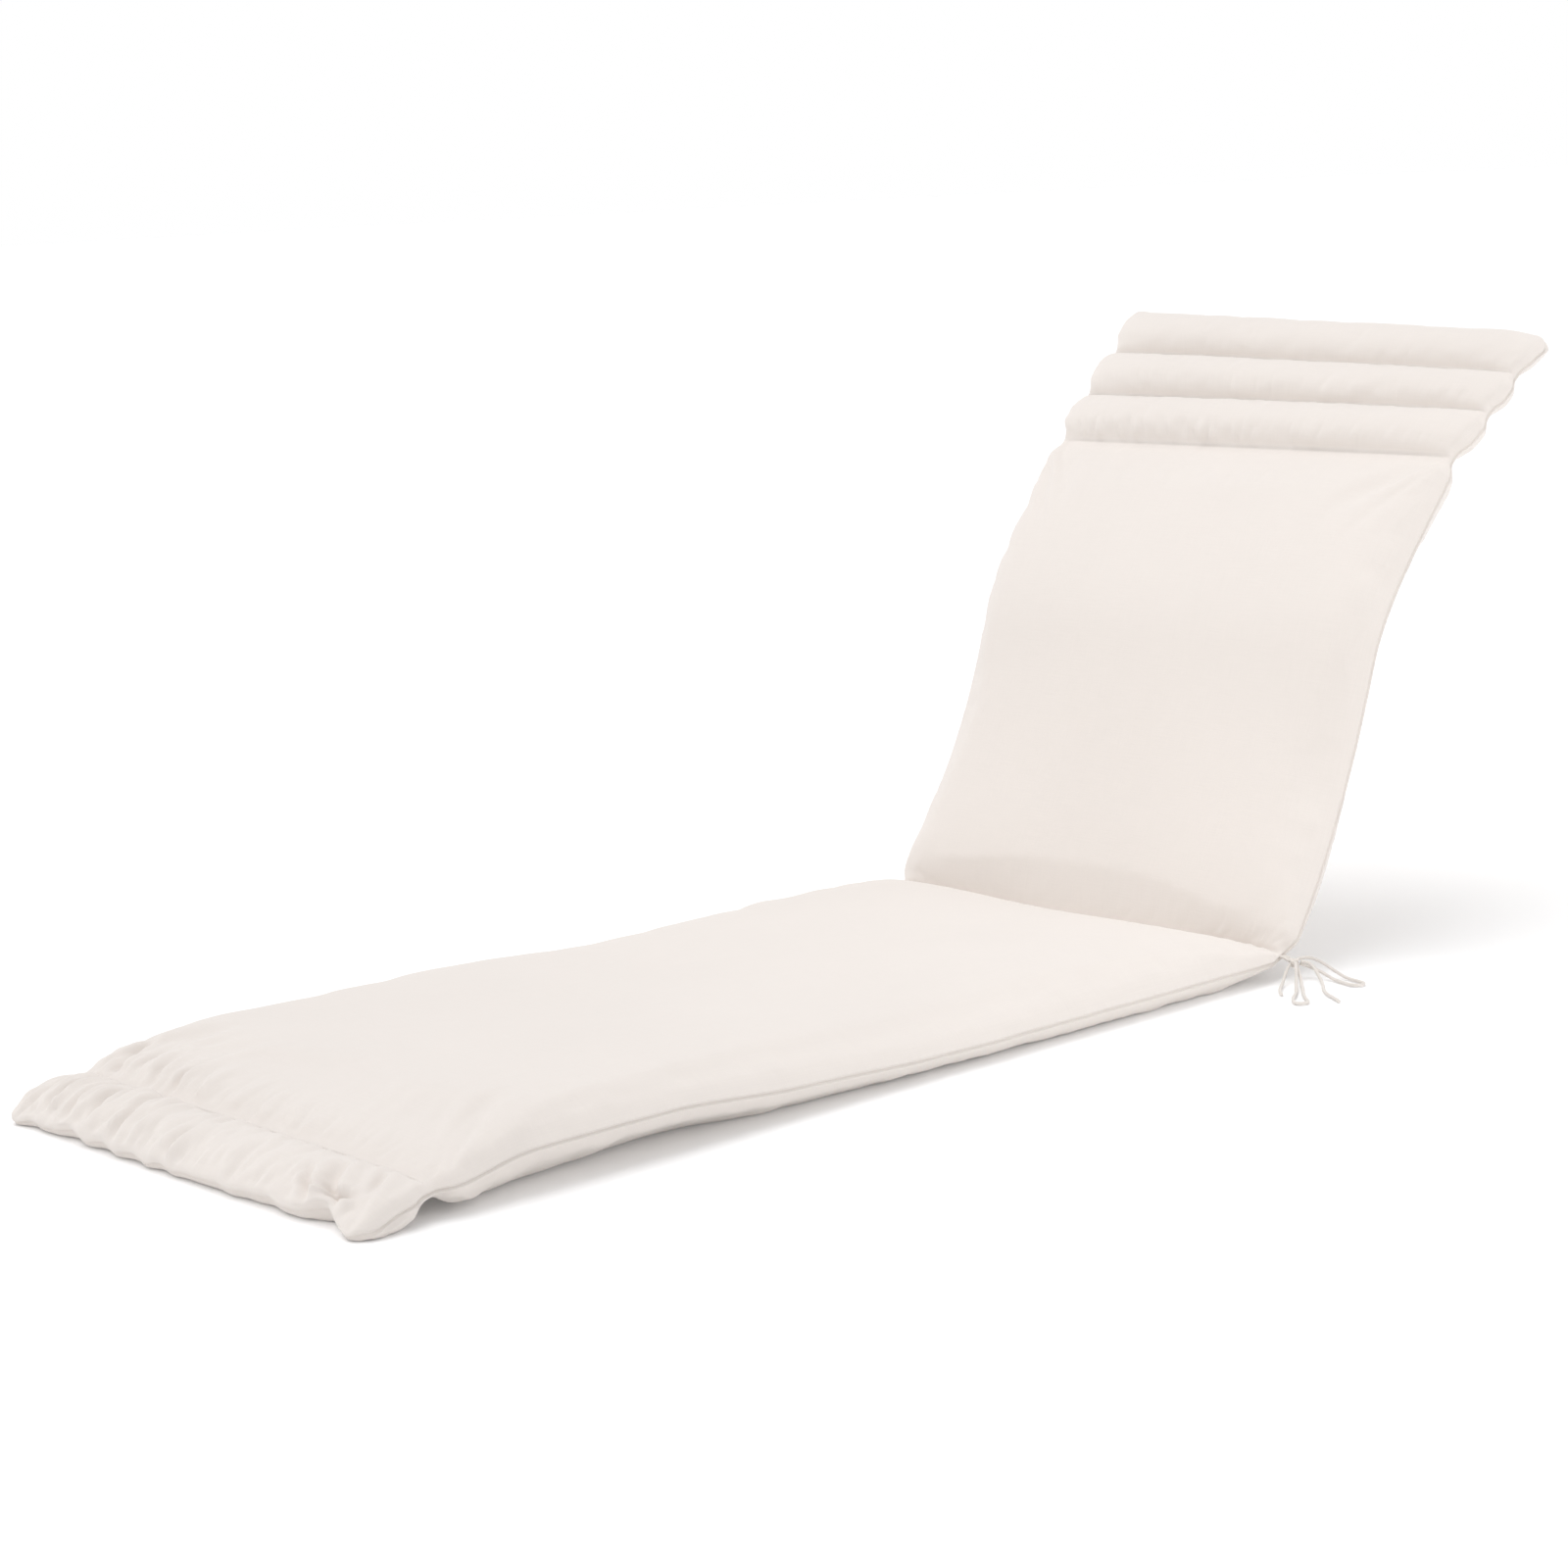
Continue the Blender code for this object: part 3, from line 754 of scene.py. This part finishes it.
def strand_routes():
    """The loops and free ends of the bow: from the knot down to the floor, and along it."""
    knot = knot_place()[1]
    floor = CORD_RADIUS + GAP / 2
    reach_x, reach_y = KNOT_RADII[0] + GAP, KNOT_RADII[1] + GAP

    def from_knot(x, y, z):
        return knot + Vector((x, y, z))

    def laid(out, aside, height=floor):
        """A point near the floor, out from the pad on the tie's slant and aside towards the head."""
        slant = math.radians(TIE_SLANT)
        return Vector((knot.x - out * math.sin(slant) + aside * math.cos(slant),
                       knot.y - out * math.cos(slant) - aside * math.sin(slant), height))

    return {
        "tie_loop_back": [from_knot(reach_x, 0.0008, 0.0022), from_knot(0.0180, -0.0050, 0.0035),
                          from_knot(0.0275, -0.0150, -0.0040), laid(0.0040, 0.0420, 0.0070),
                          laid(0.0150, 0.0505, 0.0024), laid(0.0250, 0.0575), laid(0.0356, 0.0636),
                          laid(0.0412, 0.0658), laid(0.0466, 0.0634), laid(0.0488, 0.0578),
                          laid(0.0464, 0.0524), laid(0.0365, 0.0460), laid(0.0255, 0.0405),
                          laid(0.0160, 0.0350, 0.0028), laid(0.0080, 0.0280, 0.0076),
                          from_knot(0.0140, -0.0080, -0.0065),
                          from_knot(reach_x - 0.0004, -0.0024, -0.0024)],
        "tie_loop_front": [from_knot(-0.0042, -reach_y + 0.0008, 0.0012),
                           from_knot(-0.0115, -0.0120, 0.0004), from_knot(-0.0190, -0.0190, -0.0075),
                           laid(0.0400, -0.0045, 0.0058), laid(0.0550, -0.0068), laid(0.0720, -0.0100),
                           laid(0.0890, -0.0150), laid(0.1050, -0.0170), laid(0.1103, -0.0148),
                           laid(0.1125, -0.0095), laid(0.1103, -0.0042), laid(0.1050, -0.0020),
                           laid(0.0890, -0.0030), laid(0.0700, -0.0020), laid(0.0540, 0.0002),
                           laid(0.0390, 0.0012, 0.0030), laid(0.0270, 0.0020, 0.0080),
                           from_knot(-0.0085, -0.0130, -0.0058),
                           from_knot(-0.0022, -reach_y - 0.0004, -0.0030)],
        "tie_end_long": [from_knot(0.0044, -reach_y + 0.0010, 0.0006), from_knot(0.0090, -0.0130, 0.0002),
                         from_knot(0.0080, -0.0220, -0.0080), laid(0.0260, 0.0225, 0.0056),
                         laid(0.0420, 0.0228), laid(0.0600, 0.0206), laid(0.0780, 0.0212),
                         laid(0.0960, 0.0252), laid(0.1120, 0.0285)],
        "tie_end_short": [from_knot(-reach_x, 0.0004, -0.0016), from_knot(-0.0150, -0.0025, -0.0050),
                          laid(0.0209, -0.0137, 0.0085), laid(0.0306, -0.0173, 0.0028),
                          laid(0.0440, -0.0215), laid(0.0580, -0.0240), laid(0.0720, -0.0245)],
    }


# Sizes and colours

class CushionSizes(PropertyGroup):
    """Sizes of the cushion's own details."""
    thread_pitch: FloatProperty(name="Thread pitch", description="Distance between threads of the weave",
                                default=0.0009, min=0.0004, max=0.003, unit="LENGTH", precision=4)
    stitch_length: FloatProperty(name="Stitch length", description="Length of a stitch in the sewn lines",
                                 default=0.0034, min=0.002, max=0.008, unit="LENGTH", precision=4)
    stitch_gap: FloatProperty(name="Stitch gap", description="Cloth that shows between two stitches",
                              default=0.0010, min=0.0002, max=0.004, unit="LENGTH", precision=4)
    stitch_radius: FloatProperty(name="Stitch radius", description="Radius of the sewing thread",
                                 default=0.0003, min=0.0001, max=0.001, unit="LENGTH", precision=4)
    cord_diameter: FloatProperty(name="Cord diameter", description="Diameter of the tie's cord",
                                 default=2 * CORD_RADIUS, min=0.002, max=0.004, unit="LENGTH", precision=4)


class CushionFilling(PropertyGroup):
    """How hard the pad is filled."""
    fill: FloatProperty(name="Fill", description="From 0, slack, to 1, tight", default=0.7, min=0.0, max=1.0,
                        subtype="FACTOR")
    pressure: FloatProperty(name="Pressure", description="Pressure of the filling on the cover", default=3.5,
                            min=0.0, max=10.0)
    cap: FloatProperty(name="Furthest move", description="The furthest that the filling moves a point",
                       default=0.006, min=0.0, max=0.03, unit="LENGTH", precision=4)
    spare_cloth: FloatProperty(name="Spare cloth", description="Share of extra cloth gathered in",
                               default=0.06, min=0.0, max=0.3, subtype="FACTOR")
    frames: IntProperty(name="Frames", description="Steps of the filling", default=20, min=2, max=60)


class CushionColours(PropertyGroup):
    """Colours of the cushion and of the stage."""
    cover: FloatVectorProperty(name="Cover", description="Colour of the cotton cover", subtype="COLOR",
                               size=3, default=(0.770, 0.716, 0.672), min=0.0, max=1.0)
    thread: FloatVectorProperty(name="Thread", description="Colour of the sewing thread", subtype="COLOR",
                                size=3, default=(0.80, 0.75, 0.70), min=0.0, max=1.0)
    cord: FloatVectorProperty(name="Cord", description="Colour of the tie's cord", subtype="COLOR",
                              size=3, default=(0.78, 0.73, 0.68), min=0.0, max=1.0)
    floor: FloatVectorProperty(name="Floor", description="Colour of the floor", subtype="COLOR",
                               size=3, default=(0.95, 0.95, 0.95), min=0.0, max=1.0)


# Operators

class CUSHION_OT_set_stage(Operator):
    """Lays the pale floor, hangs the soft lights and sets up the camera"""
    bl_idname = "cushion.set_stage"
    bl_label = "Set the stage"

    def execute(self, context):
        scene = context.scene
        scene.view_settings.view_transform = "Standard"
        mesh = bmesh.new()
        bmesh.ops.create_circle(mesh, cap_ends=True, segments=96, radius=40.0)
        bmesh.ops.translate(mesh, vec=(0, 0, -0.0006), verts=mesh.verts)
        paint, tree, shader = new_material("pale floor", 0.95, 0.0)
        shade(tree, shader, noise_on(tree, object_source(tree), 3.0, 2.0),
              toned(scene.cushion_colours.floor, 0.985), toned(scene.cushion_colours.floor, 1.0))
        shader.inputs["Emission Color"].default_value = (1.0, 1.0, 1.0, 1.0)
        shader.inputs["Emission Strength"].default_value = 0.06
        add_piece("floor", finish_mesh(mesh, "floor"), paint)
        light_studio(scene)
        set_camera(scene)
        return {"FINISHED"}


def light_studio(scene):
    """A pale room, brightest at eye level, a broad light overhead and two small ones at the near side."""
    world = scene.world or bpy.data.worlds.new("studio")
    scene.world = world
    world.use_nodes = True
    tree = world.node_tree
    parts = tree.nodes.new("ShaderNodeSeparateXYZ")
    tree.links.new(tree.nodes.new("ShaderNodeTexCoord").outputs["Generated"], parts.inputs["Vector"])
    ramp = tree.nodes.new("ShaderNodeValToRGB")
    ramp.color_ramp.elements[0].position, ramp.color_ramp.elements[0].color = 0.26, (1.0, 1.0, 1.0, 1.0)
    ramp.color_ramp.elements[1].position, ramp.color_ramp.elements[1].color = 0.55, (0.60, 0.60, 0.61, 1.0)
    tree.links.new(parts.outputs["Z"], ramp.inputs["Fac"])
    tree.links.new(ramp.outputs["Color"], tree.nodes["Background"].inputs["Color"])
    tree.nodes["Background"].inputs["Strength"].default_value = 1.0
    overhead = bpy.data.lights.new("overhead", "SUN")
    overhead.energy = 1.50
    overhead.angle = math.radians(55)
    lamp = bpy.data.objects.new("overhead", overhead)
    scene.collection.objects.link(lamp)
    lamp.rotation_euler = Vector((-0.12, 0.26, 1.0)).to_track_quat("Z", "Y").to_euler()
    soft_light("head side", (1.9, -2.4, 1.1), (0.7, -0.3, 0.42), 1.0, 7)
    soft_light("crease side", (-0.9, -2.2, 1.0), (0.50, -0.05, 0.22), 0.9, 0.65, 45)


def object_source(tree):
    return tree.nodes.new("ShaderNodeTexCoord").outputs["Object"]


def soft_light(name, place, aim, size, power, spread=180):
    light = bpy.data.lights.new(name, "AREA")
    light.spread = math.radians(spread)
    light.shape = "DISK"
    light.size = size
    light.energy = power
    lamp = bpy.data.objects.new(name, light)
    bpy.context.scene.collection.objects.link(lamp)
    lamp.location = place
    lamp.rotation_euler = (Vector(aim) - Vector(place)).to_track_quat("-Z", "Y").to_euler()


def set_camera(scene):
    data = bpy.data.cameras.new("camera")
    data.sensor_width = SENSOR
    data.lens = CAMERA_LENS
    data.clip_end = 200.0
    camera = bpy.data.objects.new("camera", data)
    scene.collection.objects.link(camera)
    turn, dip, roll = CAMERA_TURN, CAMERA_DIP, CAMERA_ROLL
    ahead = Vector((math.sin(turn) * math.cos(dip), math.cos(turn) * math.cos(dip), -math.sin(dip)))
    level = Vector((math.cos(turn), -math.sin(turn), 0.0))
    above = level.cross(ahead)
    right = level * math.cos(roll) + above * math.sin(roll)
    upright = above * math.cos(roll) - level * math.sin(roll)
    axes = Matrix((right, upright, -ahead)).transposed().to_4x4()
    camera.matrix_world = Matrix.Translation(CAMERA_PLACE) @ axes
    scene.camera = camera


class CUSHION_OT_fill_pad(Operator):
    """Cuts the pad flat, bends it over, fills it and presses the gathers and puckers in"""
    bl_idname = "cushion.fill_pad"
    bl_label = "Fill the pad"

    def execute(self, context):
        scene = context.scene
        mesh = flat_pad()
        for vert in mesh.verts:
            vert.co = place_pad_vert(vert.co)
        data = finish_mesh(mesh, "pad_cover")
        pad = add_piece("pad_cover", data, calico(scene.cushion_colours, scene.cushion_sizes))
        blow_up(pad, flat_places(data), scene.cushion_filling)
        subdivide_once(pad)
        press_in_folds(pad)
        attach(pad, "root")
        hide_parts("pad")
        return {"FINISHED"}


def round_corner(flat):
    """The pad's corners are turned out round: the flat corner square becomes part of a disc."""
    end = 0.0 if flat.x < LENGTH / 2 else LENGTH
    side = math.copysign(HALF_WIDTH, flat.y)
    past_end, past_side = CORNER_RADIUS - abs(flat.x - end), CORNER_RADIUS - abs(flat.y - side)
    if past_end <= 0 or past_side <= 0:
        return flat.x, flat.y
    half = 2 * CORNER_RADIUS ** 2
    turned_end = CORNER_RADIUS - past_end * math.sqrt(1 - past_side ** 2 / half)
    turned_side = CORNER_RADIUS - past_side * math.sqrt(1 - past_end ** 2 / half)
    return end + math.copysign(turned_end, LENGTH / 2 - end), side - math.copysign(turned_side, side)


def place_pad_vert(flat):
    """The skins where they are placed, and the edge between them straight from one to the other.
    The hem and the side seams are drawn in here and there, where the cloth is gathered."""
    hem = 0.5 + noise.noise(Vector((flat.y / 0.034, 4.2, 0.0)))
    drawn = 0.006 * hem * (1 - smooth_step(abs(flat.y), 0.25, 0.29))
    drawn += 0.013 * math.exp(-((flat.y + 0.238) / 0.026) ** 2)
    drawn *= 1 - smooth_step(flat.x, 0.0, 0.034)
    side = 1 if flat.y > 0 else -1
    wave = noise.noise(Vector((flat.x / 0.060, 9.1 * side, 0.0)))
    wave += 0.25 * noise.noise(Vector((flat.x / 0.023, 3.3 * side, 5.0)))
    clear_of_tie = smooth_step(abs(flat.x - CREASE), 0.012, 0.05)
    waviness = (0.0036 if flat.x > CREASE else 0.0052) * smooth_step(abs(flat.y), 0.15, 0.30)
    narrowed = 1 - waviness * wave * clear_of_tie
    along, across = round_corner(flat)
    upper = place_point(along + drawn, across, 1.0)
    lower = place_point(along + drawn, across, -1.0)
    point = lower.lerp(upper, (flat.z + 1) / 2)
    point.y = CREASE_PLACE.y + (point.y - CREASE_PLACE.y) * narrowed
    return point


class CUSHION_OT_stitch_channels(Operator):
    """Sews the stitches that show in the five sewn lines, on both skins"""
    bl_idname = "cushion.stitch_channels"
    bl_label = "Stitch the channels"

    def execute(self, context):
        sizes = context.scene.cushion_sizes
        step = sizes.stitch_length + sizes.stitch_gap
        reach = HALF_WIDTH - 0.006
        count = int(2 * reach / step)
        mesh = bmesh.new()
        for seam in SEAMS[1:-1]:
            for skin in (1.0, -1.0):
                for number in range(count):
                    across = -reach + step * (number + 0.5)
                    sew_stitch(mesh, seam, across, skin, sizes)
        thread = yarn("sewing thread", context.scene.cushion_colours.thread, 0.002, 2)
        unroll_thread(mesh)
        stitches = add_piece("channel_stitches", finish_mesh(mesh, "channel_stitches"), thread)
        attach(stitches, "root")
        return {"FINISHED"}


def sew_stitch(mesh, seam, across, skin, sizes):
    """One stitch: a slim spindle that lies on the sewn line and dips in at both ends."""
    here = place_point(seam, across, skin, 0.5 * sizes.stitch_radius)
    ahead = place_point(seam, across + 0.002, skin, 0.5 * sizes.stitch_radius) - here
    outwards = place_point(seam, across, skin, 0.001) - place_point(seam, across, skin)
    along_line = ahead.normalized()
    outwards = (outwards - along_line * outwards.dot(along_line)).normalized()
    axes = Matrix((along_line, outwards.cross(along_line), outwards)).transposed().to_4x4()
    size = Matrix.Diagonal((sizes.stitch_length / 2, sizes.stitch_radius, sizes.stitch_radius, 1.0))
    placed = Matrix.Translation(here) @ axes @ size
    bmesh.ops.create_icosphere(mesh, subdivisions=1, radius=1.0, matrix=placed)


def unroll_thread(mesh):
    laid = mesh.loops.layers.uv.new("laid")
    for face in mesh.faces:
        for loop in face.loops:
            loop[laid].uv = (loop.vert.co.y, loop.vert.co.z * 300)


class CUSHION_OT_tie_bow(Operator):
    """Ties the cord at the near end of the crease in a bow that lies on the floor"""
    bl_idname = "cushion.tie_bow"
    bl_label = "Tie the bow"

    def execute(self, context):
        scene = context.scene
        diameter = scene.cushion_sizes.cord_diameter
        cotton = yarn("cord cotton", scene.cushion_colours.cord, 0.0016, 3)
        knot = cord_piece("tie_knot_wound", knot_routes(), cotton, diameter)
        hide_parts("tie_knot", "tie_root_seat", "tie_root_back")
        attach(knot, "root")
        for name, route in strand_routes().items():
            points = drooping(smooth_route(route, ROUTE_STEP))
            free = name.startswith("tie_end")
            strand = cord_piece(name + "_laid", [points], cotton, diameter, free)
            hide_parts(name)
            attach(strand, "root")
        return {"FINISHED"}


class CUSHION_PT_maker(Panel):
    """Lists the cushion's sizes, colours and pieces"""
    bl_label = "Sun lounger cushion"
    bl_idname = "CUSHION_PT_maker"
    bl_space_type = "VIEW_3D"
    bl_region_type = "UI"
    bl_category = "Cushion"

    def draw(self, context):
        scene = context.scene
        for group in (scene.cushion_sizes, scene.cushion_filling, scene.cushion_colours):
            box = self.layout.box()
            for name in group.__annotations__:
                box.prop(group, name)
        for operator in OPERATORS:
            self.layout.operator(operator.bl_idname)


OPERATORS = (CUSHION_OT_set_stage, CUSHION_OT_tie_bow, CUSHION_OT_fill_pad, CUSHION_OT_stitch_channels)
CLASSES = (CushionSizes, CushionFilling, CushionColours, *OPERATORS, CUSHION_PT_maker)


def register():
    for part in CLASSES:
        bpy.utils.register_class(part)
    bpy.types.Scene.cushion_sizes = PointerProperty(type=CushionSizes)
    bpy.types.Scene.cushion_filling = PointerProperty(type=CushionFilling)
    bpy.types.Scene.cushion_colours = PointerProperty(type=CushionColours)


def unregister():
    del bpy.types.Scene.cushion_colours
    del bpy.types.Scene.cushion_filling
    del bpy.types.Scene.cushion_sizes
    for part in reversed(CLASSES):
        bpy.utils.unregister_class(part)


def main():
    register()
    bpy.ops.cushion.set_stage()
    bpy.ops.cushion.tie_bow()
    bpy.ops.cushion.fill_pad()
    bpy.ops.cushion.stitch_channels()


if __name__ == "__main__":
    main()
